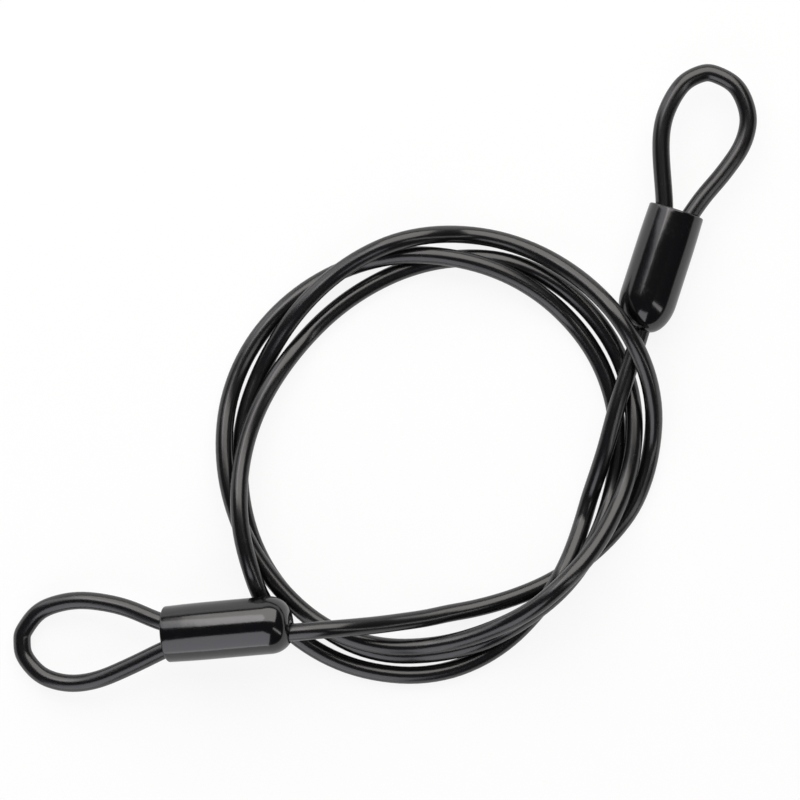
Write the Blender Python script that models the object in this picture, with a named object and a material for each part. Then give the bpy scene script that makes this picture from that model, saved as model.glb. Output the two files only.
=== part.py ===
"""A cable lock: one plastic-jacketed steel wire rope with a swaged eye at each end, lying in a loose coil.

Metres, +Z up, standing on z = 0. Run with: blender --background --python part.py
"""

import math

import bmesh
import bpy
import numpy as np
from mathutils import Matrix, Vector

MM = 0.001
FLOOR = 0.0

# The cable, in millimetres
CABLE_D = 5.0  # over the jacket
ROPE_D = 3.0
GAP = 0.3  # kept between pieces that touch
CABLE_SIDES = 8
FLAT = CABLE_D / 10  # what the floor takes off a strand that lies on it
LYING = FLOOR + CABLE_D / 2 - FLAT  # height of such a strand's centre
LEAST_GAP = 0.4  # between two strands of the coil

# The swaged ends, in millimetres
SLEEVE_D = 16.4
SLEEVE_MOUTH_D = 16.0
SLEEVE_SWELL = 12.0  # from the mouth to where it has its full diameter
SLEEVE_WALL = 1.2
SLEEVE_MOUTH_ROUND = 0.5
SLEEVE_A_L = 36.5
SLEEVE_B_L = 35.6
DOME_A_L = 6.2  # along the sleeve; soft caps take their own shape as they are pushed on
DOME_A_IN = 5.4  # across it
DOME_B_L = 9.5
DOME_B_IN = 5.8
FERRULE_FIT = 0.4  # from the sleeve's inside
FERRULE_D = SLEEVE_D - 2 * (SLEEVE_WALL + FERRULE_FIT)
FERRULE_L = 16.5
FERRULE_CHAMFER = 0.6
FERRULE_SET_BACK = 6.0  # from the sleeve's mouth
CRIMP_DEPTH = 0.25
CRIMPS = 3
LEG_APART = CABLE_D + GAP  # centre to centre, in the ferrule
TAIL = 1.5  # of cable past the ferrule
ROUND_SIDES = 48
BORE_SIDES = 24

# Where the ends lie: the mouth's centre, and the heading from the mouth to the dome
MOUTH_A = (-62.2, -72.5)  # seen from above
HEADING_A = 5.6  # degrees from +X
TIP_A_HEIGHT = 2.3  # eye a's far end touches the floor
DOME_A_HEIGHT = 19.4  # its sleeve rides up on the coil
MOUTH_B = (83.0, 48.1)
HEADING_B = -107.9
EXIT_A = LEG_APART / 2  # how far off the sleeve's axis the cable leaves
EXIT_B = 0.9

# The eyes: how far out of the mouth, and how far to the side of the leg that runs on as the coil
EYE_A = (
    (1.0, 4.3), (10.4, 7.7), (21.2, 11.0), (30.1, 11.4), (37.7, 8.6), (42.2, 3.1),
    (42.8, -1.5), (41.5, -5.1), (35.6, -10.2), (24.9, -11.8), (12.4, -9.0), (0.9, -3.6),
)  # fmt: skip
EYE_B = (
    (0.6, 4.3), (6.7, 6.3), (14.9, 9.6), (23.8, 12.0), (31.9, 11.0), (38.5, 5.6),
    (40.3, -1.4), (38.9, -5.7), (34.0, -9.7), (25.0, -11.4), (15.5, -9.7), (0.6, -3.9),
)  # fmt: skip

# The coil, about its own centre: how far round the cable has gone, in degrees, and how far out it lies.
# It turns three and a third times between the two sleeves.
COIL_CENTRE = (15.7, -22.1)
COIL_STEP = 9  # degrees from one section to the next
SPREAD = (
    (255, 48.7), (270, 45.1), (285, 44.5), (300, 45.7), (315, 48.4), (330, 52.1), (345, 56.6),
    (360, 59.9), (375, 62.6), (390, 63.6), (405, 64.2), (435, 64.2), (460, 62.6), (480, 59.9),
    (495, 58.0), (510, 56.9), (525, 56.9), (540, 57.4), (570, 59.1), (590, 59.3), (610, 59.0),
    (630, 56.0), (645, 53.9), (660, 51.7), (675, 50.7), (690, 50.1), (705, 50.0), (720, 50.6),
    (735, 51.7), (750, 52.8), (775, 54.3), (805, 56.6), (825, 59.0), (850, 61.3), (870, 62.5),
    (885, 62.5), (900, 61.6), (925, 59.9), (940, 59.1), (955, 58.6), (970, 56.9), (990, 53.4),
    (1005, 51.3), (1020, 50.3), (1035, 49.7), (1050, 50.6), (1065, 52.3), (1085, 55.4),
    (1098, 57.3), (1110, 58.6), (1130, 59.6), (1150, 59.0), (1170, 56.1), (1190, 53.1),
    (1205, 51.7), (1220, 51.3), (1235, 52.3), (1260, 56.3), (1290, 62.5), (1297, 64.6),
    (1305, 65.7), (1320, 65.6), (1335, 64.1), (1350, 61.7), (1365, 57.6), (1380, 52.6),
    (1395, 48.3), (1410, 45.4), (1425, 44.3), (1440, 46.4), (1455, 51.4),
)  # fmt: skip
# How high its centre line is where a strand climbs over others, or comes down from them
HEIGHTS = (
    (255, 11.5), (270, 6.2), (285, 2.9), (300, 2.0), (358, 2.0), (368, 4.5), (378, 10.2),
    (386, 14.2), (393, 16.3), (400, 15.7), (408, 12.0), (416, 8.0), (424, 5.2), (432, 3.4),
    (442, 2.8), (450, 6.8), (458, 10.4), (466, 10.2), (480, 7.9), (490, 7.0), (500, 5.5), (510, 2.8),
    (517, 2.0), (625, 2.0), (637, 5.0), (645, 6.5), (653, 7.4), (663, 11.3), (671, 13.2),
    (680, 12.4), (688, 9.2), (696, 6.5), (704, 3.2), (712, 2.0), (765, 2.0), (780, 4.6), (795, 7.0),
    (808, 7.9), (820, 6.1), (832, 2.2), (838, 2.0), (880, 2.0), (892, 4.2), (905, 6.4), (920, 7.4),
    (960, 7.5), (985, 7.3), (996, 10.0), (1008, 12.3), (1022, 17.0), (1033, 18.8), (1044, 17.0),
    (1056, 12.4), (1068, 7.6), (1085, 5.4), (1098, 3.6), (1106, 2.0), (1115, 2.0), (1215, 2.0),
    (1230, 5.2), (1248, 7.0), (1260, 8.8), (1270, 11.9), (1280, 13.3), (1290, 12.9), (1298, 9.3),
    (1305, 5.2), (1313, 2.5), (1322, 2.0), (1374, 2.0), (1381, 3.5), (1389, 7.2), (1396, 7.9),
    (1403, 6.5), (1412, 2.7), (1420, 2.0), (1427, 2.5), (1438, 5.8), (1450, 7.5), (1455, 7.9),
)  # fmt: skip
LEAD_STEPS = 5
EYE_STEPS = 3

# Colours and finishes
BLACK_VINYL = ((0.018, 0.018, 0.02), 0.28, 0.0)
BLACK_CAP = ((0.012, 0.012, 0.013), 0.2, 0.0)
ALUMINIUM = ((0.72, 0.72, 0.73), 0.38, 1.0)
STEEL = ((0.55, 0.55, 0.56), 0.42, 1.0)


def clear_scene():
    for thing in list(bpy.data.objects):
        bpy.data.objects.remove(thing)


def material(name, look):
    colour, roughness, metallic = look
    made = bpy.data.materials.new(name)
    made.use_nodes = True
    shader = made.node_tree.nodes["Principled BSDF"]
    shader.inputs["Base Color"].default_value = (*colour, 1)
    shader.inputs["Roughness"].default_value = roughness
    shader.inputs["Metallic"].default_value = metallic
    return made


def add_object(name, shape, look=None):
    """The bmesh, in millimetres, as an object in metres."""
    bmesh.ops.recalc_face_normals(shape, faces=shape.faces[:])
    mesh = bpy.data.meshes.new(name)
    shape.to_mesh(mesh)
    shape.free()
    mesh.transform(Matrix.Scale(MM, 4))
    made = bpy.data.objects.new(name, mesh)
    bpy.context.collection.objects.link(made)
    if look:
        mesh.materials.append(material(name, look))
    return made


def cut(target, cutter):
    """Takes the cutter out of the target, and hides it."""
    cutter.hide_render = True
    cutter.hide_set(True)
    boolean = target.modifiers.new("Cut " + cutter.name, "BOOLEAN")
    boolean.operation = "DIFFERENCE"
    boolean.solver = "EXACT"
    boolean.object = cutter


# ------------------------------------------------------------------ the centre line


def read_off(stations, at):
    """A smooth curve through (place, value) stations, read at each place."""
    places = np.array([station[0] for station in stations], float)
    values = np.array([station[1] for station in stations], float)
    slopes = np.gradient(values, places)
    slopes[1:-1] = (values[2:] - values[:-2]) / (places[2:] - places[:-2])
    before = np.clip(np.searchsorted(places, at) - 1, 0, len(places) - 2)
    span = places[before + 1] - places[before]
    t = (at - places[before]) / span
    return (
        (2 * t**3 - 3 * t**2 + 1) * values[before]
        + (t**3 - 2 * t**2 + t) * span * slopes[before]
        + (3 * t**2 - 2 * t**3) * values[before + 1]
        + (t**3 - t**2) * span * slopes[before + 1]
    )


def coil_points(angles):
    """Points of the coil's centre line."""
    turned = np.radians(angles)
    out = read_off(SPREAD, angles)
    up = np.maximum(LYING, read_off(HEIGHTS, angles))
    return np.stack(
        [COIL_CENTRE[0] + out * np.cos(turned), COIL_CENTRE[1] + out * np.sin(turned), up], 1
    )


def through(points, steps):
    """A smooth curve through the points, with so many steps from one to the next."""
    points = [Vector(point) for point in points]
    ends = [2 * points[0] - points[1], *points, 2 * points[-1] - points[-2]]
    found = []
    for a, b, c, d in zip(ends, ends[1:], ends[2:], ends[3:]):
        for step in range(steps):
            t = step / steps
            found.append(
                0.5 * (2 * b + (c - a) * t + (2 * a - 5 * b + 4 * c - d) * t**2)
                + 0.5 * (3 * b - a - 3 * c + d) * t**3
            )
    return found + [points[-1]]


def bridging(start, start_way, end, end_way, steps):
    """A smooth curve from one point and direction to another, without its two ends."""
    reach = (end - start).length
    found = []
    for step in range(1, steps):
        t = step / steps
        found.append(
            (2 * t**3 - 3 * t**2 + 1) * start
            + (t**3 - 2 * t**2 + t) * reach * start_way
            + (3 * t**2 - 2 * t**3) * end
            + (t**3 - t**2) * reach * end_way
        )
    return found


class End:
    """One swaged end: where its mouth is, and which way it faces."""

    def __init__(self, mouth, height, heading, climb, side, sleeve):
        turn = math.radians(heading)
        self.mouth = Vector((*mouth, height))
        self.sleeve_l, self.dome_l, self.dome_in = sleeve
        self.inward = Vector(
            (math.cos(turn) * math.cos(climb), math.sin(turn) * math.cos(climb), math.sin(climb))
        )
        self.side = side * Vector((-math.sin(turn), math.cos(turn), 0))

    def at(self, out, aside):
        """The point so far out of the mouth, and so far to the side of the leg that runs on."""
        return self.mouth - self.inward * out + self.side * aside

    def placing(self):
        """From a shape along +Z with its mouth at the origin, the leg that runs on at +X."""
        turned = Matrix((self.side, self.inward.cross(self.side), self.inward)).transposed()
        return Matrix.Translation(self.mouth) @ turned.to_4x4()


def end_a():
    reach = max(out for out, _ in EYE_A) + SLEEVE_A_L
    climb = math.asin((DOME_A_HEIGHT - TIP_A_HEIGHT) / reach)
    height = DOME_A_HEIGHT - SLEEVE_A_L * math.sin(climb)
    return End(MOUTH_A, height, HEADING_A, climb, -1, (SLEEVE_A_L, DOME_A_L, DOME_A_IN))


def end_b():
    height = FLOOR + SLEEVE_D / 2
    return End(MOUTH_B, height, HEADING_B, 0.0, 1, (SLEEVE_B_L, DOME_B_L, DOME_B_IN))


def eye_line(end, eye):
    """From the leg that runs on, where it leaves the ferrule, round the eye to the cable's tail."""
    half = LEG_APART / 2
    inner = -FERRULE_SET_BACK - FERRULE_L - TAIL
    outer = -FERRULE_SET_BACK
    main = [end.at(out, half) for out in (inner, (inner + outer) / 2, outer)]
    tail = [end.at(out, -half) for out in (outer, (inner + outer) / 2, inner)]
    loop = [end.at(*place) for place in eye]
    curved = through([main[1], main[2], *loop, tail[0], tail[1]], EYE_STEPS)
    return main[:2] + curved[EYE_STEPS:-EYE_STEPS] + tail[1:]


def lead_line(end, off_axis):
    """From just past the ferrule, out through the dome, and straight on for one diameter."""
    start = FERRULE_SET_BACK + FERRULE_L + TAIL + GAP
    first = end.at(-start, LEG_APART / 2)
    straight = first + end.inward * CABLE_D
    in_dome = end.at(SLEEVE_WALL - end.sleeve_l, off_axis)
    bend = bridging(straight, end.inward, in_dome, end.inward, 3)
    outside = end.at(-CABLE_D - end.sleeve_l, off_axis)
    return [first, straight, *bend, in_dome, outside]


def coil_line(a, b):
    """The free cable, from past ferrule a to past ferrule b."""
    angles = np.arange(SPREAD[0][0], SPREAD[-1][0] + COIL_STEP / 2, COIL_STEP)
    angles = np.minimum(angles, SPREAD[-1][0])
    coil = [Vector(point) for point in coil_points(angles)]
    lead_a = lead_line(a, EXIT_A)
    lead_b = lead_line(b, EXIT_B)
    in_a = bridging(lead_a[-1], a.inward, coil[0], (coil[1] - coil[0]).normalized(), LEAD_STEPS)
    out_b = bridging(coil[-1], (coil[-1] - coil[-2]).normalized(), lead_b[-1], -b.inward, LEAD_STEPS)
    return lead_a + in_a + coil + out_b + lead_b[::-1]


def least_gap(line, diameter, apart=5):
    """The least gap of a cord to itself, between pieces of it that are this many diameters apart."""
    fine = []
    for start, end in zip(line, line[1:]):
        fine.extend(start.lerp(end, step / 4) for step in range(4))
    fine = np.array(fine + [line[-1]])
    along = np.concatenate([[0], np.cumsum(np.linalg.norm(np.diff(fine, axis=0), axis=1))])
    away = np.linalg.norm(fine[:, None] - fine[None], axis=2)
    away[np.abs(along[:, None] - along[None]) < apart * diameter] = np.inf
    return away.min() - diameter, along[-1]


# ------------------------------------------------------------------ the shapes


def sections(line, diameter):
    """Rings across the line, flat-sided below, none of them under the floor."""
    rings = []
    for index, centre in enumerate(line):
        way = line[min(index + 1, len(line) - 1)] - line[max(index - 1, 0)]
        aside = way.cross(Vector((0, 0, 1))).normalized()
        upward = aside.cross(way).normalized()
        ring = []
        for side in range(CABLE_SIDES):
            turn = math.tau * (side + 0.5) / CABLE_SIDES
            spoke = aside * math.sin(turn) + upward * math.cos(turn)
            point = centre + spoke * diameter / 2
            point.z = max(point.z, FLOOR)
            ring.append(point)
        rings.append(ring)
    return rings


def add_tube(shape, rings):
    """Skins the rings with a tube, and returns its vertices, ring by ring."""
    placed = [[shape.verts.new(point) for point in ring] for ring in rings]
    for ring, following in zip(placed, placed[1:]):
        for side in range(CABLE_SIDES):
            beside = (side + 1) % CABLE_SIDES
            shape.faces.new((ring[side], ring[beside], following[beside], following[side]))
    return placed


def add_jacket(name, line):
    """The plastic jacket: a tube with the rope's bore."""
    shape = bmesh.new()
    outside = add_tube(shape, sections(line, CABLE_D))
    inside = add_tube(shape, sections(line, ROPE_D + 2 * GAP))
    for end in (0, -1):
        for side in range(CABLE_SIDES):
            beside = (side + 1) % CABLE_SIDES
            rim = (outside[end][side], outside[end][beside], inside[end][beside], inside[end][side])
            shape.faces.new(rim)
    return add_object(name, shape, BLACK_VINYL)


def add_rope(line):
    """The steel wire rope, one length from tail to tail."""
    shape = bmesh.new()
    placed = add_tube(shape, sections(line, ROPE_D))
    shape.faces.new(placed[0])
    shape.faces.new(placed[-1])
    return add_object("wire_rope", shape, STEEL)


def turned_shape(profile, sides=ROUND_SIDES):
    """Spins an (out, along) profile, which starts and ends on the axis or closes on itself."""
    shape = bmesh.new()
    placed = [shape.verts.new((out, 0, along)) for out, along in profile]
    edges = [shape.edges.new(pair) for pair in zip(placed, placed[1:])]
    bmesh.ops.spin(
        shape, geom=placed + edges, cent=(0, 0, 0), axis=(0, 0, 1), angle=math.tau, steps=sides
    )
    bmesh.ops.remove_doubles(shape, verts=shape.verts[:], dist=0.001)
    return shape


def arc(centre, across, along, start, stop, steps):
    """Points of a quarter or so of an ellipse, for a profile."""
    found = []
    for step in range(steps + 1):
        turn = math.radians(start + (stop - start) * step / steps)
        found.append((centre[0] + across * math.cos(turn), centre[1] + along * math.sin(turn)))
    return found


def bore(name, end, diameter, aside, start, stop):
    """A cylinder to cut with, along the end's axis."""
    shape = turned_shape(
        [(0, start), (diameter / 2, start), (diameter / 2, stop), (0, stop)], BORE_SIDES
    )
    bmesh.ops.translate(shape, verts=shape.verts[:], vec=(aside, 0, 0))
    bmesh.ops.transform(shape, verts=shape.verts[:], matrix=end.placing())
    return add_object(name, shape)


def add_sleeve(letter, end, off_axis):
    """The moulded cap: an open mouth, a plain barrel and a domed end that the cable comes out of."""
    outer = SLEEVE_D / 2
    mouth = SLEEVE_MOUTH_D / 2
    inner = outer - SLEEVE_WALL
    lip = SLEEVE_MOUTH_ROUND
    barrel = end.sleeve_l - end.dome_l
    shoulder = outer - end.dome_in
    swell = [
        (mouth + (outer - mouth) * math.sin(math.radians(turn)), lip + (SLEEVE_SWELL - lip) * turn / 90)
        for turn in (15, 35, 60, 90)
    ]
    profile = [
        (0, 0),
        *arc((mouth - lip, lip), lip, lip, -90, 0, 3),
        *swell,
        *arc((shoulder, barrel), end.dome_in, end.dome_l, 0, 90, 9),
        (0, end.sleeve_l),
    ]
    shape = turned_shape(profile)
    bmesh.ops.transform(shape, verts=shape.verts[:], matrix=end.placing())
    sleeve = add_object("sleeve_" + letter, shape, BLACK_CAP)
    across, along = end.dome_in - SLEEVE_WALL, end.dome_l - SLEEVE_WALL
    hollow = [(0, -1), (inner, -1), *arc((shoulder, barrel), across, along, 0, 90, 7)]
    cavity = turned_shape([*hollow, (0, end.sleeve_l - SLEEVE_WALL)])
    bmesh.ops.transform(cavity, verts=cavity.verts[:], matrix=end.placing())
    cut(sleeve, add_object("cavity_" + letter, cavity))
    hole = CABLE_D + 2 * GAP
    cut(sleeve, bore("way_out_" + letter, end, hole, off_axis, barrel, end.sleeve_l + 1))
    return sleeve


def add_ferrule(letter, end):
    """The swaged ferrule: a drum with crimp grooves, and a bore for each leg of the eye."""
    outer = FERRULE_D / 2
    start = FERRULE_SET_BACK
    stop = start + FERRULE_L
    bevel = FERRULE_CHAMFER
    groove = FERRULE_L / (2 * CRIMPS + 1)
    profile = [(0, start), (outer - bevel, start), (outer, start + bevel)]
    for crimp in range(CRIMPS):
        near = start + groove * (2 * crimp + 1)
        profile += [(outer, near), (outer - CRIMP_DEPTH, near + CRIMP_DEPTH)]
        profile += [(outer - CRIMP_DEPTH, near + groove - CRIMP_DEPTH), (outer, near + groove)]
    profile += [(outer, stop - bevel), (outer - bevel, stop), (0, stop)]
    shape = turned_shape(profile, BORE_SIDES)
    bmesh.ops.transform(shape, verts=shape.verts[:], matrix=end.placing())
    ferrule = add_object("ferrule_" + letter, shape, ALUMINIUM)
    for number, aside in enumerate((LEG_APART / 2, -LEG_APART / 2)):
        name = f"leg_bore_{letter}{number}"
        cut(ferrule, bore(name, end, CABLE_D + 2 * GAP, aside, start - 1, stop + 1))
    return ferrule


def main():
    clear_scene()
    a = end_a()
    b = end_b()
    eye_a = eye_line(a, EYE_A)
    eye_b = eye_line(b, EYE_B)
    coil = coil_line(a, b)
    add_jacket("eye_jacket_a", eye_a)
    add_jacket("eye_jacket_b", eye_b)
    add_jacket("coil_jacket", coil)
    add_rope(eye_a[::-1] + coil + eye_b)
    for letter, end, off_axis in (("a", a, EXIT_A), ("b", b, EXIT_B)):
        add_sleeve(letter, end, off_axis)
        add_ferrule(letter, end)
    gap, length = least_gap(coil, CABLE_D)
    print(f"coil: least gap to itself {gap:.2f} mm, which has to be over {LEAST_GAP}")
    whole = least_gap(eye_a[::-1] + coil + eye_b, CABLE_D)[1]
    print(f"coil: {length:.0f} mm of free cable, and {whole:.0f} mm from tail to tail")


main()
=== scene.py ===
"""A cable lock: one plastic-coated steel wire rope with an eye at each end, in a loose coil on a table.

Metres, +Z up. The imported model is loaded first, and the visible pieces are fitted over its solids.
"""

import math

import bmesh
import bpy
import numpy as np
from mathutils import Matrix, Vector


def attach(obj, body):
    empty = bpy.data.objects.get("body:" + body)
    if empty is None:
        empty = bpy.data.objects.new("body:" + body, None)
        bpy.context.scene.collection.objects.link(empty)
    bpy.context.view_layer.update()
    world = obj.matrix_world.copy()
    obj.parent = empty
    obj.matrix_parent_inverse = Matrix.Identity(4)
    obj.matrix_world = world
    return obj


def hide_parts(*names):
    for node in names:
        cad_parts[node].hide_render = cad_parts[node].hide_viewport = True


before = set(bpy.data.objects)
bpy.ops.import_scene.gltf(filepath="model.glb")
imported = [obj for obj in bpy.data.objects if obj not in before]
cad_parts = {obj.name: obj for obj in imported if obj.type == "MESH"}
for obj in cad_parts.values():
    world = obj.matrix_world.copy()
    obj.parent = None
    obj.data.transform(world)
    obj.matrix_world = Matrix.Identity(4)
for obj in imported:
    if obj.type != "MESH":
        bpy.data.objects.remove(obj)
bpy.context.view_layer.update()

# ---- Camera
# The lock is looked at from straight above, with a long lens, as it lies on a table.
CAMERA_HEIGHT = 1.5
SEEN_ACROSS = 0.2292  # of the table, over the picture's width
SEEN_AT = (0.00415, -0.00589)  # the point of the table in the middle of the picture
SENSOR = 36  # millimetres

camera = bpy.data.objects.new("camera", bpy.data.cameras.new("camera"))
bpy.context.collection.objects.link(camera)
camera.data.sensor_width = SENSOR
camera.data.lens = SENSOR * CAMERA_HEIGHT / SEEN_ACROSS
camera.data.clip_start = 0.01
camera.location = (*SEEN_AT, CAMERA_HEIGHT)
bpy.context.scene.camera = camera

# ---- The free cable
# One unbroken vinyl jacket, extruded over the wire rope. It leaves the first sleeve's domed end, turns
# three and a third times in a loose coil and goes into the second sleeve.
MM = 0.001
CABLE_D = 0.005  # metres, like the next three sizes
ROPE_D = 0.003
GAP = 0.0003
LOWEST = 0.00002  # no strand goes below this, so one that lies on the table is flat there
VINYL_SHINE = 0.8

# The rest is in millimetres
LYING = 2.0  # height of such a strand's centre
COIL_CENTRE = (15.7, -22.1)
COIL_STEP = 9  # degrees from one point to the next
LEAD_STEPS = 5  # between a sleeve and the coil
# How far round the cable has gone, in degrees, and how far out from the centre it lies
SPREAD = (
    (255, 48.7), (270, 45.1), (285, 44.5), (300, 45.7), (315, 48.4), (330, 52.1), (345, 56.6),
    (360, 59.9), (375, 62.6), (390, 63.6), (405, 64.2), (435, 64.2), (460, 62.6), (480, 59.9),
    (495, 58.0), (510, 56.9), (525, 56.9), (540, 57.4), (570, 59.1), (590, 59.3), (610, 59.0),
    (630, 56.0), (645, 53.9), (660, 51.7), (675, 50.7), (690, 50.1), (705, 50.0), (720, 50.6),
    (735, 51.7), (750, 52.8), (775, 54.3), (805, 56.6), (825, 59.0), (850, 61.3), (870, 62.5),
    (885, 62.5), (900, 61.6), (925, 59.9), (940, 59.1), (955, 58.6), (970, 56.9), (990, 53.4),
    (1005, 51.3), (1020, 50.3), (1035, 49.7), (1050, 50.6), (1065, 52.3), (1085, 55.4),
    (1098, 57.3), (1110, 58.6), (1130, 59.6), (1150, 59.0), (1170, 56.1), (1190, 53.1),
    (1205, 51.7), (1220, 51.3), (1235, 52.3), (1260, 56.3), (1290, 62.5), (1297, 64.6),
    (1305, 65.7), (1320, 65.6), (1335, 64.1), (1350, 61.7), (1365, 57.6), (1380, 52.6),
    (1395, 48.3), (1410, 45.4), (1425, 44.3), (1440, 46.4), (1455, 51.4),
)  # fmt: skip
# How far round, and how high
HEIGHTS = (
    (255, 11.5), (270, 6.2), (285, 2.9), (300, 2.0), (358, 2.0), (368, 4.5), (378, 10.2),
    (386, 14.2), (393, 16.3), (400, 15.7), (408, 12.0), (416, 8.0), (424, 5.2), (432, 3.4),
    (442, 2.8), (450, 6.8), (458, 10.4), (466, 10.2), (480, 7.9), (490, 7.0), (500, 5.5), (510, 2.8),
    (517, 2.0), (625, 2.0), (637, 5.0), (645, 6.5), (653, 7.4), (663, 11.3), (671, 13.2),
    (680, 12.4), (688, 9.2), (696, 6.5), (704, 3.2), (712, 2.0), (765, 2.0), (780, 4.6), (795, 7.0),
    (808, 7.9), (820, 6.1), (832, 2.2), (838, 2.0), (880, 2.0), (892, 4.2), (905, 6.4), (920, 7.4),
    (960, 7.5), (985, 7.3), (996, 10.0), (1008, 12.3), (1022, 17.0), (1033, 18.8), (1044, 17.0),
    (1056, 12.4), (1068, 7.6), (1085, 5.4), (1098, 3.6), (1106, 2.0), (1115, 2.0), (1215, 2.0),
    (1230, 5.2), (1248, 7.0), (1260, 8.8), (1270, 11.9), (1280, 13.3), (1290, 12.9), (1298, 9.3),
    (1305, 5.2), (1313, 2.5), (1322, 2.0), (1374, 2.0), (1381, 3.5), (1389, 7.2), (1396, 7.9),
    (1403, 6.5), (1412, 2.7), (1420, 2.0), (1427, 2.5), (1438, 5.8), (1450, 7.5), (1455, 7.9),
)  # fmt: skip
LEG_APART = 5.3  # of an eye's two legs, centre to centre
FERRULE_FROM = 6.0  # from the sleeve's mouth
FERRULE_TO = 22.5
TAIL = 1.5  # of cable past the ferrule
JOINT = 0.3  # between the eye's jacket and the coil's
STRAIGHT = 5  # of cable, where it leaves a ferrule or a sleeve
LEAST_STEP = 1.0  # between two rings of the coil's tube
SLEEVE_WALL = 1.2
SLEEVE_A_L = 36.5
SLEEVE_B_L = 35.6
EYE_A_REACH = 42.8
TIP_A_HEIGHT = 2.3  # eye a's far end touches the table
DOME_A_HEIGHT = 19.4  # its sleeve rides up on the coil


def read_off(stations, at):
    """A smooth curve through (place, value) stations, read at each place."""
    places = np.array([station[0] for station in stations], float)
    values = np.array([station[1] for station in stations], float)
    slopes = np.gradient(values, places)
    slopes[1:-1] = (values[2:] - values[:-2]) / (places[2:] - places[:-2])
    before = np.clip(np.searchsorted(places, at) - 1, 0, len(places) - 2)
    span = places[before + 1] - places[before]
    t = (at - places[before]) / span
    return (
        (2 * t**3 - 3 * t**2 + 1) * values[before]
        + (t**3 - 2 * t**2 + t) * span * slopes[before]
        + (3 * t**2 - 2 * t**3) * values[before + 1]
        + (t**3 - t**2) * span * slopes[before + 1]
    )


def bridging(start, start_way, end, end_way, steps):
    """A smooth curve from one point and direction to another, without its two ends."""
    reach = (end - start).length
    found = []
    for step in range(1, steps):
        t = step / steps
        found.append(
            (2 * t**3 - 3 * t**2 + 1) * start
            + (t**3 - 2 * t**2 + t) * reach * start_way
            + (3 * t**2 - 2 * t**3) * end
            + (t**3 - t**2) * reach * end_way
        )
    return found


class End:
    """One swaged end: where its sleeve's mouth is, which way it faces, and how its dome is shaped."""

    def __init__(self, mouth, heading, climb, side, off_axis, sleeve):
        turn = math.radians(heading)
        self.mouth = Vector(mouth)
        self.sleeve_l, self.dome_l, self.dome_in = sleeve
        self.inward = Vector(
            (math.cos(turn) * math.cos(climb), math.sin(turn) * math.cos(climb), math.sin(climb))
        )
        self.side = side * Vector((-math.sin(turn), math.cos(turn), 0))
        self.off_axis = off_axis

    def at(self, out, aside):
        """The point so far out of the mouth, and so far to the side of the leg that runs on."""
        return self.mouth - self.inward * out + self.side * aside

    def placing(self):
        """From a shape in millimetres along +Z with its mouth at the origin, into the frame."""
        turned = Matrix((self.side, self.inward.cross(self.side), self.inward)).transposed()
        return Matrix.Scale(MM, 4) @ Matrix.Translation(self.mouth) @ turned.to_4x4()

    def lead(self):
        """The cable's way from the ferrule out through the dome, and straight on for one diameter."""
        first = self.at(-FERRULE_TO - TAIL - JOINT, LEG_APART / 2)
        straight = first + self.inward * STRAIGHT
        in_dome = self.at(SLEEVE_WALL - self.sleeve_l, self.off_axis)
        bend = bridging(straight, self.inward, in_dome, self.inward, 3)
        outside = self.at(-STRAIGHT - self.sleeve_l, self.off_axis)
        return [first, straight, *bend, in_dome, outside]


climb_a = math.asin((DOME_A_HEIGHT - TIP_A_HEIGHT) / (EYE_A_REACH + SLEEVE_A_L))
height_a = DOME_A_HEIGHT - SLEEVE_A_L * math.sin(climb_a)
end_a = End(
    mouth=(-62.2, -72.5, height_a),
    heading=5.6,
    climb=climb_a,
    side=-1,
    off_axis=LEG_APART / 2,
    sleeve=(SLEEVE_A_L, 6.2, 5.4),
)
end_b = End(
    mouth=(83.0, 48.1, 8.2),
    heading=-107.9,
    climb=0.0,
    side=1,
    off_axis=0.9,
    sleeve=(SLEEVE_B_L, 9.5, 5.8),
)


def coil_route():
    """The free cable's centre line, in millimetres."""
    first, last = SPREAD[0][0], SPREAD[-1][0]
    angles = np.arange(first, last + COIL_STEP / 2, COIL_STEP).clip(max=last)
    out = read_off(SPREAD, angles)
    up = np.maximum(LYING, read_off(HEIGHTS, angles))
    turned = np.radians(angles)
    coil = [
        Vector((COIL_CENTRE[0] + o * math.cos(t), COIL_CENTRE[1] + o * math.sin(t), z))
        for o, t, z in zip(out, turned, up)
    ]
    lead_a = end_a.lead()
    lead_b = end_b.lead()
    start_way = (coil[1] - coil[0]).normalized()
    end_way = (coil[-1] - coil[-2]).normalized()
    joining_a = bridging(lead_a[-1], end_a.inward, coil[0], start_way, LEAD_STEPS)
    joining_b = bridging(coil[-1], end_way, lead_b[-1], -end_b.inward, LEAD_STEPS)
    return lead_a + joining_a + coil + joining_b + lead_b[::-1]


def rounded(points, steps):
    """A finer smooth line through the points."""
    ends = [2 * points[0] - points[1], *points, 2 * points[-1] - points[-2]]
    found = []
    for a, b, c, d in zip(ends, ends[1:], ends[2:], ends[3:]):
        for step in range(steps):
            t = step / steps
            found.append(
                0.5 * (2 * b + (c - a) * t + (2 * a - 5 * b + 4 * c - d) * t**2)
                + 0.5 * (3 * b - a - 3 * c + d) * t**3
            )
    return found + [points[-1]]


def spaced(line, least):
    """The line without the points that lie closer to the one before than this, or to its end."""
    kept = [line[0]]
    for point in line[1:-1]:
        if min((point - kept[-1]).length, (point - line[-1]).length) >= least:
            kept.append(point)
    return kept + [line[-1]]


def evened(line, passes=40):
    """The line with its small corners taken out: each pass smooths it, then undoes the shrinking."""
    for _ in range(passes):
        for share in (0.5, -0.53):
            moved = [
                here + share * ((before + after) / 2 - here)
                for before, here, after in zip(line, line[1:], line[2:])
            ]
            line = [line[0], *moved, line[-1]]
    return line


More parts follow.
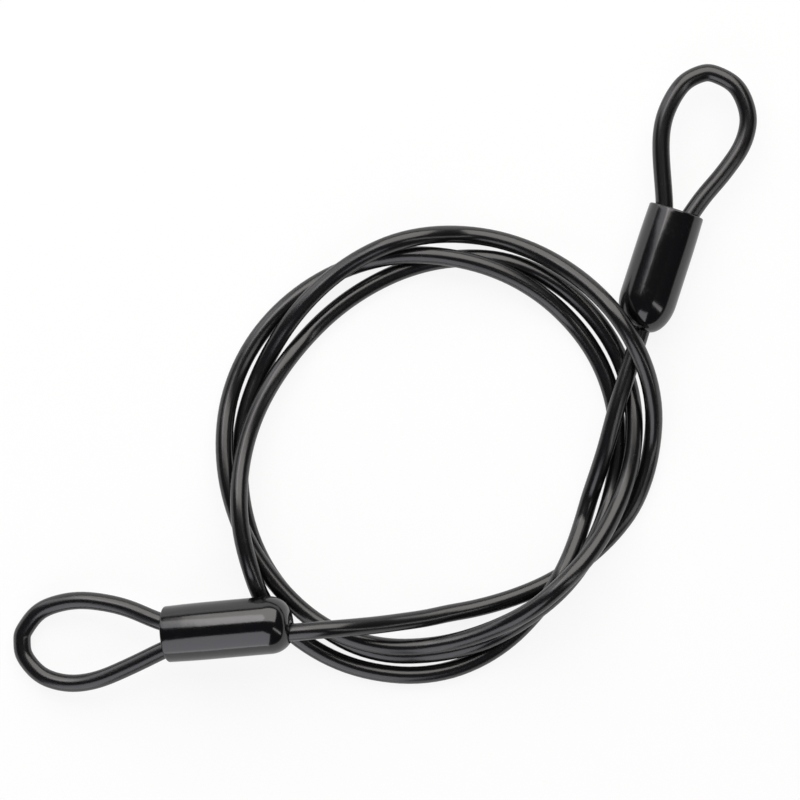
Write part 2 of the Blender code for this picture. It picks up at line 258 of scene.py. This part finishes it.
def sweep_tube(name, line, radius, sides=32, bore=0.0):
    """A tube, or a solid cord, along a line in metres; its chart runs round it and along it."""
    shape = bmesh.new()
    chart = shape.loops.layers.uv.new("along")
    along = [0.0]
    for start, end in zip(line, line[1:]):
        along.append(along[-1] + (end - start).length)
    rings = []
    for index, centre in enumerate(line):
        way = line[min(index + 1, len(line) - 1)] - line[max(index - 1, 0)]
        aside = way.cross(Vector((0, 0, 1))).normalized()
        upward = aside.cross(way).normalized()
        turns = [math.tau * side / sides for side in range(sides)]
        spokes = [aside * math.sin(turn) + upward * math.cos(turn) for turn in turns]
        outer = [shape.verts.new(centre + spoke * radius) for spoke in spokes]
        for vertex in outer:
            vertex.co.z = max(vertex.co.z, LOWEST)
        inner = [shape.verts.new(centre + spoke * bore) for spoke in spokes] if bore else []
        rings.append((outer, inner))
    for row, (near, far) in enumerate(zip(rings, rings[1:])):
        for side in range(sides):
            beside = (side + 1) % sides
            for skin, flip in ((0, False), (1, True)):
                if not near[skin]:
                    continue
                corners = [near[skin][side], near[skin][beside], far[skin][beside], far[skin][side]]
                places = [
                    (side / sides, along[row]),
                    ((side + 1) / sides, along[row]),
                    ((side + 1) / sides, along[row + 1]),
                    (side / sides, along[row + 1]),
                ]
                if flip:
                    corners.reverse()
                    places.reverse()
                face = shape.faces.new(corners)
                face.smooth = True
                for loop, place in zip(face.loops, places):
                    loop[chart].uv = place
    for outer, inner in (rings[0], rings[-1]):
        if bore:
            for side in range(sides):
                beside = (side + 1) % sides
                shape.faces.new((outer[side], inner[side], inner[beside], outer[beside]))
        else:
            shape.faces.new(outer)
    bmesh.ops.recalc_face_normals(shape, faces=shape.faces[:])
    mesh = bpy.data.meshes.new(name)
    shape.to_mesh(mesh)
    shape.free()
    tube = bpy.data.objects.new(name, mesh)
    bpy.context.collection.objects.link(tube)
    return tube


def new_group(name, inputs, outputs):
    """An empty shader node group with these sockets, and its input and output nodes."""
    group = bpy.data.node_groups.new(name, "ShaderNodeTree")
    for socket, kind, value in inputs:
        made = group.interface.new_socket(name=socket, in_out="INPUT", socket_type=kind)
        if value is not None:
            made.default_value = value
    for socket, kind in outputs:
        group.interface.new_socket(name=socket, in_out="OUTPUT", socket_type=kind)
    return group, group.nodes.new("NodeGroupInput"), group.nodes.new("NodeGroupOutput")


def handling_marks():
    """Faint rub marks and dust: a mask, the roughness that it leaves, and the surface's height."""
    fine_scale = 7.3  # of the specks, against the patches that they gather in
    dulling = 0.25  # what a full mark adds to the roughness
    group, given, result = new_group(
        "handling_marks",
        [
            ("Scale", "NodeSocketFloat", 400.0),
            ("Amount", "NodeSocketFloat", 0.3),
            ("Gloss", "NodeSocketFloat", 0.2),
        ],
        [
            ("Mask", "NodeSocketFloat"),
            ("Roughness", "NodeSocketFloat"),
            ("Height", "NodeSocketFloat"),
        ],
    )
    nodes, link = group.nodes, group.links.new
    place = nodes.new("ShaderNodeTexCoord")
    broad = nodes.new("ShaderNodeTexNoise")
    broad.inputs["Detail"].default_value = 4
    link(place.outputs["Object"], broad.inputs["Vector"])
    link(given.outputs["Scale"], broad.inputs["Scale"])
    finer = nodes.new("ShaderNodeMath")
    finer.operation = "MULTIPLY"
    finer.inputs[1].default_value = fine_scale
    link(given.outputs["Scale"], finer.inputs[0])
    fine = nodes.new("ShaderNodeTexNoise")
    fine.inputs["Detail"].default_value = 3
    link(place.outputs["Object"], fine.inputs["Vector"])
    link(finer.outputs[0], fine.inputs["Scale"])
    patches = nodes.new("ShaderNodeMapRange")
    patches.inputs["From Min"].default_value = 0.52
    patches.inputs["From Max"].default_value = 0.72
    link(broad.outputs["Fac"], patches.inputs["Value"])
    specks = nodes.new("ShaderNodeMapRange")
    specks.inputs["From Min"].default_value = 0.5
    specks.inputs["From Max"].default_value = 0.75
    link(fine.outputs["Fac"], specks.inputs["Value"])
    both = nodes.new("ShaderNodeMath")
    both.operation = "MULTIPLY"
    link(patches.outputs["Result"], both.inputs[0])
    link(specks.outputs["Result"], both.inputs[1])
    scaled = nodes.new("ShaderNodeMath")
    scaled.operation = "MULTIPLY"
    link(both.outputs[0], scaled.inputs[0])
    link(given.outputs["Amount"], scaled.inputs[1])
    dulled = nodes.new("ShaderNodeMath")
    dulled.operation = "MULTIPLY_ADD"
    dulled.inputs[1].default_value = dulling
    link(scaled.outputs[0], dulled.inputs[0])
    link(given.outputs["Gloss"], dulled.inputs[2])
    link(scaled.outputs[0], result.inputs["Mask"])
    link(dulled.outputs[0], result.inputs["Roughness"])
    link(broad.outputs["Fac"], result.inputs["Height"])
    return group


marks = handling_marks()


def worn_material(name, scale, amount, gloss, clean, rubbed):
    """A material whose colour and gloss carry the handling marks, and the node that gives them."""
    made = bpy.data.materials.new(name)
    made.use_nodes = True
    nodes, link = made.node_tree.nodes, made.node_tree.links.new
    shader = nodes["Principled BSDF"]
    worn = nodes.new("ShaderNodeGroup")
    worn.node_tree = marks
    worn.inputs["Scale"].default_value = scale
    worn.inputs["Amount"].default_value = amount
    worn.inputs["Gloss"].default_value = gloss
    tint = nodes.new("ShaderNodeValToRGB")
    tint.color_ramp.elements[0].color = (*clean, 1)
    tint.color_ramp.elements[1].color = (*rubbed, 1)
    link(worn.outputs["Mask"], tint.inputs["Fac"])
    link(tint.outputs["Color"], shader.inputs["Base Color"])
    link(worn.outputs["Roughness"], shader.inputs["Roughness"])
    return made, worn


def add_bump(made, height, strength, distance):
    """Bends the material's light by this height."""
    nodes, link = made.node_tree.nodes, made.node_tree.links.new
    bump = nodes.new("ShaderNodeBump")
    bump.inputs["Strength"].default_value = strength
    bump.inputs["Distance"].default_value = distance
    link(height, bump.inputs["Height"])
    link(bump.outputs["Normal"], nodes["Principled BSDF"].inputs["Normal"])


def jacket_material():
    """Extruded black vinyl, with the rope's lay just showing through as a long twist."""
    lay_length = 0.021  # of one turn of the twist, along the cable
    strands = 6
    grain_share = 0.6
    made, worn = worn_material(
        "black_vinyl_jacket", 260, 0.35, 0.24, (0.004, 0.004, 0.0046), (0.03, 0.028, 0.028)
    )
    nodes, link = made.node_tree.nodes, made.node_tree.links.new
    chart = nodes.new("ShaderNodeUVMap")
    chart.uv_map = "along"
    split = nodes.new("ShaderNodeSeparateXYZ")
    link(chart.outputs["UV"], split.inputs["Vector"])
    twist = nodes.new("ShaderNodeMath")
    twist.operation = "MULTIPLY_ADD"
    twist.inputs[1].default_value = 1 / lay_length
    link(split.outputs["Y"], twist.inputs[0])
    link(split.outputs["X"], twist.inputs[2])
    turned = nodes.new("ShaderNodeMath")
    turned.operation = "MULTIPLY"
    turned.inputs[1].default_value = math.tau * strands
    link(twist.outputs[0], turned.inputs[0])
    lay = nodes.new("ShaderNodeMath")
    lay.operation = "SINE"
    link(turned.outputs[0], lay.inputs[0])
    grain = nodes.new("ShaderNodeMath")
    grain.operation = "MULTIPLY_ADD"
    grain.inputs[1].default_value = grain_share
    link(worn.outputs["Height"], grain.inputs[0])
    link(lay.outputs[0], grain.inputs[2])
    add_bump(made, grain.outputs[0], 0.05, 0.00002)
    nodes["Principled BSDF"].inputs["Specular IOR Level"].default_value = VINYL_SHINE
    return made


vinyl = jacket_material()
route = [point * MM for point in evened(spaced(rounded(coil_route(), 4), LEAST_STEP), 3)]
for point in route:
    point.z = max(point.z, LYING * MM)  # the smoothing dips a little below the floor's height
coil_cable = sweep_tube("coil_cable", route, CABLE_D / 2, bore=ROPE_D / 2 + GAP)
coil_cable.data.materials.append(vinyl)
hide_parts("coil_jacket")
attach(coil_cable, "root")

# ---- The eyes
# At each end the same jacketed rope is bent back on itself into a teardrop, and both its legs go into
# the ferrule side by side. The tail is cut off just past the ferrule.
EYE_A = (
    (1.0, 4.3), (10.4, 7.7), (21.2, 11.0), (30.1, 11.4), (37.7, 8.6), (42.2, 3.1),
    (42.8, -1.5), (41.5, -5.1), (35.6, -10.2), (24.9, -11.8), (12.4, -9.0), (0.9, -3.6),
)  # fmt: skip
EYE_B = (
    (0.6, 4.3), (6.7, 6.3), (14.9, 9.6), (23.8, 12.0), (31.9, 11.0), (38.5, 5.6),
    (40.3, -1.4), (38.9, -5.7), (34.0, -9.7), (25.0, -11.4), (15.5, -9.7), (0.6, -3.9),
)  # fmt: skip


def eye_route(end, eye):
    """From the leg that runs on, where it leaves the ferrule, round the eye to the cable's tail."""
    half = LEG_APART / 2
    places = (-FERRULE_TO - TAIL, (-FERRULE_TO - TAIL - FERRULE_FROM) / 2, -FERRULE_FROM)
    main = [end.at(out, half) for out in places]
    tail = [end.at(out, -half) for out in reversed(places)]
    loop = [end.at(*place) for place in eye]
    curved = evened(rounded([main[1], main[2], *loop, tail[0], tail[1]], 8))
    return [point * MM for point in main[:1] + curved + tail[2:]]


for name, end, eye in (("eye_a", end_a, EYE_A), ("eye_b", end_b, EYE_B)):
    loop = sweep_tube(name, eye_route(end, eye), CABLE_D / 2, bore=ROPE_D / 2 + GAP)
    loop.data.materials.append(vinyl)
    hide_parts("eye_jacket_" + name[-1])
    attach(loop, "root")

# ---- The wire rope
# Galvanised steel wire rope inside the jacket, from one cut tail to the other, on the jacket's own line.
# Only its two cut ends are bare, deep in the sleeves.


def metal_material(name, scale, amount, gloss, clean, rubbed, unevenness):
    """Bare dull metal with handling marks."""
    made, worn = worn_material(name, scale, amount, gloss, clean, rubbed)
    add_bump(made, worn.outputs["Height"], unevenness, 0.0001)
    made.node_tree.nodes["Principled BSDF"].inputs["Metallic"].default_value = 1.0
    return made


galvanised = metal_material(
    "galvanised_rope", 900, 0.6, 0.42, (0.5, 0.5, 0.51), (0.36, 0.35, 0.34), 0.3
)
rope_line = eye_route(end_a, EYE_A)[::-1] + route + eye_route(end_b, EYE_B)
rope = sweep_tube("rope", rope_line, ROPE_D / 2, sides=16)
rope.data.materials.append(galvanised)
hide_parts("wire_rope")
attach(rope, "root")

# ---- The ferrules
# Aluminium ferrules pressed onto both legs of each eye, with the press's grooves round them. They
# show only through the sleeves' open mouths, dull grey between the cable's legs.


def refinish(node, finish):
    """Gives a solid of the frame a finish, in place of its plain one."""
    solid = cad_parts[node]
    for slot in solid.material_slots:
        slot.link = "OBJECT"
        slot.material = finish


aluminium = metal_material(
    "pressed_aluminium", 500, 0.8, 0.36, (0.62, 0.62, 0.63), (0.4, 0.4, 0.4), 0.25
)
refinish("ferrule_a", aluminium)
refinish("ferrule_b", aluminium)

# ---- The sleeves
# Glossy black vinyl caps, dip-moulded, pushed over the ferrules to cover their edges. The open mouth
# has a soft rounded lip, and the cable comes out of a hole in the domed end.
SLEEVE_R = 8.2  # millimetres, like the rest
MOUTH_R = 8.0
SWELL = 12.0  # from the mouth to where the barrel has its full size
LIP = 0.5
WAY_OUT_R = 2.75
PLUG_L = 10
DOME_STEPS = 28
BARREL_STEPS = 6
SWELL_STEPS = 13
INSIDE_STEPS = 8
# Inside the mouth: how far out from the bore, and how far in
INSIDE = ((0.3, 0.03), (0.0, 0.35), (0.0, 6.0), (0.0, 16.0))


def sleeve_profile(end):
    """(radius, distance from the mouth), from the dome over the outside to the mouth and back inside."""
    barrel = end.sleeve_l - end.dome_l
    shoulder = SLEEVE_R - end.dome_in
    inner = SLEEVE_R - SLEEVE_WALL
    profile = []
    for step in range(DOME_STEPS):
        turn = math.radians(90 * (1 - step / DOME_STEPS))
        profile.append(
            (shoulder + end.dome_in * math.cos(turn), barrel + end.dome_l * math.sin(turn))
        )
    for step in range(BARREL_STEPS):
        profile.append((SLEEVE_R, barrel - (barrel - SWELL) * step / BARREL_STEPS))
    for step in range(SWELL_STEPS):
        turn = math.radians(90 * (1 - step / SWELL_STEPS))
        out = MOUTH_R + (SLEEVE_R - MOUTH_R) * math.sin(turn)
        profile.append((out, LIP + (SWELL - LIP) * turn / math.tau * 4))
    for step in range(INSIDE_STEPS + 1):
        turn = math.radians(-90 * step / INSIDE_STEPS)
        profile.append((MOUTH_R - LIP + LIP * math.cos(turn), LIP + LIP * math.sin(turn)))
    profile += [(inner + out, along) for out, along in (*INSIDE, (0.0, barrel))]
    for step in range(1, INSIDE_STEPS + 1):
        turn = math.radians(90 * step / INSIDE_STEPS)
        across = (end.dome_in - SLEEVE_WALL) * math.cos(turn)
        profile.append((shoulder + across, barrel + (end.dome_l - SLEEVE_WALL) * math.sin(turn)))
    return profile


def turned_sleeve(name, end, sides=128):
    """The cap, spun from its profile, with the cable's hole cut through its dome."""
    shape = bmesh.new()
    profile = [(0.0, end.sleeve_l), *sleeve_profile(end), (0.0, end.sleeve_l - SLEEVE_WALL)]
    placed = [shape.verts.new((out, 0, along)) for out, along in profile]
    edges = [shape.edges.new(pair) for pair in zip(placed, placed[1:])]
    bmesh.ops.spin(
        shape, geom=placed + edges, cent=(0, 0, 0), axis=(0, 0, 1), angle=math.tau, steps=sides
    )
    bmesh.ops.remove_doubles(shape, verts=shape.verts[:], dist=0.001)
    bmesh.ops.transform(shape, verts=shape.verts[:], matrix=end.placing())
    bmesh.ops.recalc_face_normals(shape, faces=shape.faces[:])
    for face in shape.faces:
        face.smooth = True
    mesh = bpy.data.meshes.new(name)
    shape.to_mesh(mesh)
    shape.free()
    sleeve = bpy.data.objects.new(name, mesh)
    bpy.context.collection.objects.link(sleeve)

    plug = bmesh.new()
    bmesh.ops.create_cone(
        plug, cap_ends=True, segments=48, radius1=WAY_OUT_R, radius2=WAY_OUT_R, depth=PLUG_L
    )
    bmesh.ops.translate(plug, verts=plug.verts[:], vec=(end.off_axis, 0, end.sleeve_l - 1))
    bmesh.ops.transform(plug, verts=plug.verts[:], matrix=end.placing())
    plug_mesh = bpy.data.meshes.new(name + "_way_out")
    plug.to_mesh(plug_mesh)
    plug.free()
    cutter = bpy.data.objects.new(name + "_way_out", plug_mesh)
    bpy.context.collection.objects.link(cutter)
    boolean = sleeve.modifiers.new("way out", "BOOLEAN")
    boolean.solver = "EXACT"
    boolean.object = cutter
    evaluated = sleeve.evaluated_get(bpy.context.evaluated_depsgraph_get())
    cut_mesh = bpy.data.meshes.new_from_object(evaluated)
    sleeve.modifiers.clear()
    sleeve.data = cut_mesh
    bpy.data.objects.remove(cutter)
    return sleeve


def sleeve_material():
    """Dip-moulded vinyl: a mirror-like skin with a slight orange peel, a little dull in places."""
    made, worn = worn_material(
        "black_vinyl_sleeve", 180, 0.3, 0.13, (0.003, 0.003, 0.0035), (0.03, 0.028, 0.028)
    )
    add_bump(made, worn.outputs["Height"], 0.15, 0.0002)
    made.node_tree.nodes["Principled BSDF"].inputs["Specular IOR Level"].default_value = VINYL_SHINE
    return made


cap_vinyl = sleeve_material()
for letter, end in (("a", end_a), ("b", end_b)):
    sleeve = turned_sleeve("cap_" + letter, end)
    sleeve.data.materials.append(cap_vinyl)
    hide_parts("sleeve_" + letter)
    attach(sleeve, "root")

# ---- The table, the light and the background
# A plain white table top in a white room. Soft boxes stand round it, a large one beyond the lock, one
# on the near side and a narrow strip at each side, and they are what the glossy vinyl mirrors.


TABLE_SIZE = 3.0
TABLE_DROP = 0.0002  # below the lock
TABLE_COLOUR = (0.85, 0.85, 0.85)
GLOW = 1.04
GLOW_SHARE = 0.85  # the rest is the table's own shading, which keeps the shadow
MIRRORED_SHARE = 0.5  # of that, in what gloss shows of the table
DIM, DIM_COLOUR = 0.05, (0.86, 0.9, 1)  # the room's own light
BACKDROP_TOP, BACKDROP_FULL = 0.16, 0.04  # how high the white backdrop reaches, as a sine


def seen_white(made, colour):
    """Plain white to the camera and in what gloss and glass show of it, with the shadow kept."""
    nodes, link = made.node_tree.nodes, made.node_tree.links.new
    output = nodes["Material Output"]
    plain = nodes["Principled BSDF"]
    plain.inputs["Base Color"].default_value = (*colour, 1)
    plain.inputs["Roughness"].default_value = 0.9
    plain.inputs["Specular IOR Level"].default_value = 0.0
    glow = nodes.new("ShaderNodeEmission")
    glow.inputs["Color"].default_value = (1, 1, 1, 1)
    glow.inputs["Strength"].default_value = GLOW
    path = nodes.new("ShaderNodeLightPath")
    seen = nodes.new("ShaderNodeMath")
    seen.operation = "MAXIMUM"
    link(path.outputs["Is Camera Ray"], seen.inputs[0])
    link(path.outputs["Is Transmission Ray"], seen.inputs[1])
    mirrored = nodes.new("ShaderNodeMath")
    mirrored.operation = "MULTIPLY"
    mirrored.inputs[1].default_value = MIRRORED_SHARE
    link(path.outputs["Is Glossy Ray"], mirrored.inputs[0])
    shown = nodes.new("ShaderNodeMath")
    shown.operation = "MAXIMUM"
    link(seen.outputs[0], shown.inputs[0])
    link(mirrored.outputs[0], shown.inputs[1])
    mix = nodes.new("ShaderNodeMixShader")
    share = nodes.new("ShaderNodeMath")
    share.operation = "MULTIPLY"
    share.inputs[1].default_value = GLOW_SHARE
    link(shown.outputs[0], share.inputs[0])
    link(share.outputs[0], mix.inputs["Fac"])
    link(plain.outputs["BSDF"], mix.inputs[1])
    link(glow.outputs["Emission"], mix.inputs[2])
    link(mix.outputs["Shader"], output.inputs["Surface"])


floor_mesh = bpy.data.meshes.new("table_top")
floor_shape = bmesh.new()
bmesh.ops.create_grid(floor_shape, x_segments=2, y_segments=2, size=TABLE_SIZE)
floor_shape.to_mesh(floor_mesh)
floor_shape.free()
table = bpy.data.objects.new("table_top", floor_mesh)
bpy.context.collection.objects.link(table)
table.location = (0, 0, -TABLE_DROP)
table_white = bpy.data.materials.new("white_table")
table_white.use_nodes = True
seen_white(table_white, TABLE_COLOUR)
table.data.materials.append(table_white)


def soft_box(name, azimuth, from_zenith, distance, size, power, colour):
    """A soft box turned to the lock; its width is level, and the azimuth counts from +X towards +Y."""
    lamp = bpy.data.lights.new(name, "AREA")
    lamp.shape = "RECTANGLE"
    lamp.size, lamp.size_y = size
    lamp.energy = power
    lamp.color = colour
    box = bpy.data.objects.new(name, lamp)
    turn, tilt = math.radians(azimuth), math.radians(from_zenith)
    across = distance * math.sin(tilt)
    box.location = (across * math.cos(turn), across * math.sin(turn), distance * math.cos(tilt))
    box.rotation_euler = (tilt, 0, turn + math.pi / 2)
    bpy.context.collection.objects.link(box)


soft_box("box_far", 88, 44, 1.15, (1.54, 1.26), 16.0, (1.0, 0.965, 0.93))
soft_box("box_near", -110, 60, 1.2, (0.8, 1.25), 5.3, (0.93, 0.93, 1.0))
soft_box("strip_left", 140, 62, 0.8, (0.26, 0.95), 1.3, (0.97, 0.95, 1.0))
soft_box("strip_right", -30, 47, 1.2, (0.16, 1.05), 1.1, (1.0, 0.96, 0.95))

world = bpy.data.worlds.new("white_room")
world.use_nodes = True
bpy.context.scene.world = world
room, room_link = world.node_tree.nodes, world.node_tree.links.new
dim = room["Background"]
dim.inputs["Color"].default_value = (*DIM_COLOUR, 1)
dim.inputs["Strength"].default_value = DIM
white = room.new("ShaderNodeBackground")
white.inputs["Color"].default_value = (1, 1, 1, 1)
white.inputs["Strength"].default_value = 1.0
way = room.new("ShaderNodeTexCoord")
height = room.new("ShaderNodeSeparateXYZ")
room_link(way.outputs["Generated"], height.inputs["Vector"])
horizon = room.new("ShaderNodeMapRange")
horizon.inputs["From Min"].default_value = BACKDROP_TOP
horizon.inputs["From Max"].default_value = BACKDROP_FULL
room_link(height.outputs["Z"], horizon.inputs["Value"])
rays = room.new("ShaderNodeLightPath")
mirrored = room.new("ShaderNodeMath")
mirrored.operation = "MULTIPLY"
room_link(rays.outputs["Is Glossy Ray"], mirrored.inputs[0])
room_link(horizon.outputs["Result"], mirrored.inputs[1])
direct = room.new("ShaderNodeMath")
direct.operation = "MAXIMUM"
room_link(rays.outputs["Is Camera Ray"], direct.inputs[0])
room_link(rays.outputs["Is Transmission Ray"], direct.inputs[1])
shown = room.new("ShaderNodeMath")
shown.operation = "MAXIMUM"
room_link(direct.outputs[0], shown.inputs[0])
room_link(mirrored.outputs[0], shown.inputs[1])
choose = room.new("ShaderNodeMixShader")
room_link(shown.outputs[0], choose.inputs["Fac"])
room_link(dim.outputs["Background"], choose.inputs[1])
room_link(white.outputs["Background"], choose.inputs[2])
room_link(choose.outputs["Shader"], room["World Output"].inputs["Surface"])

bpy.context.scene.view_settings.view_transform = "Standard"
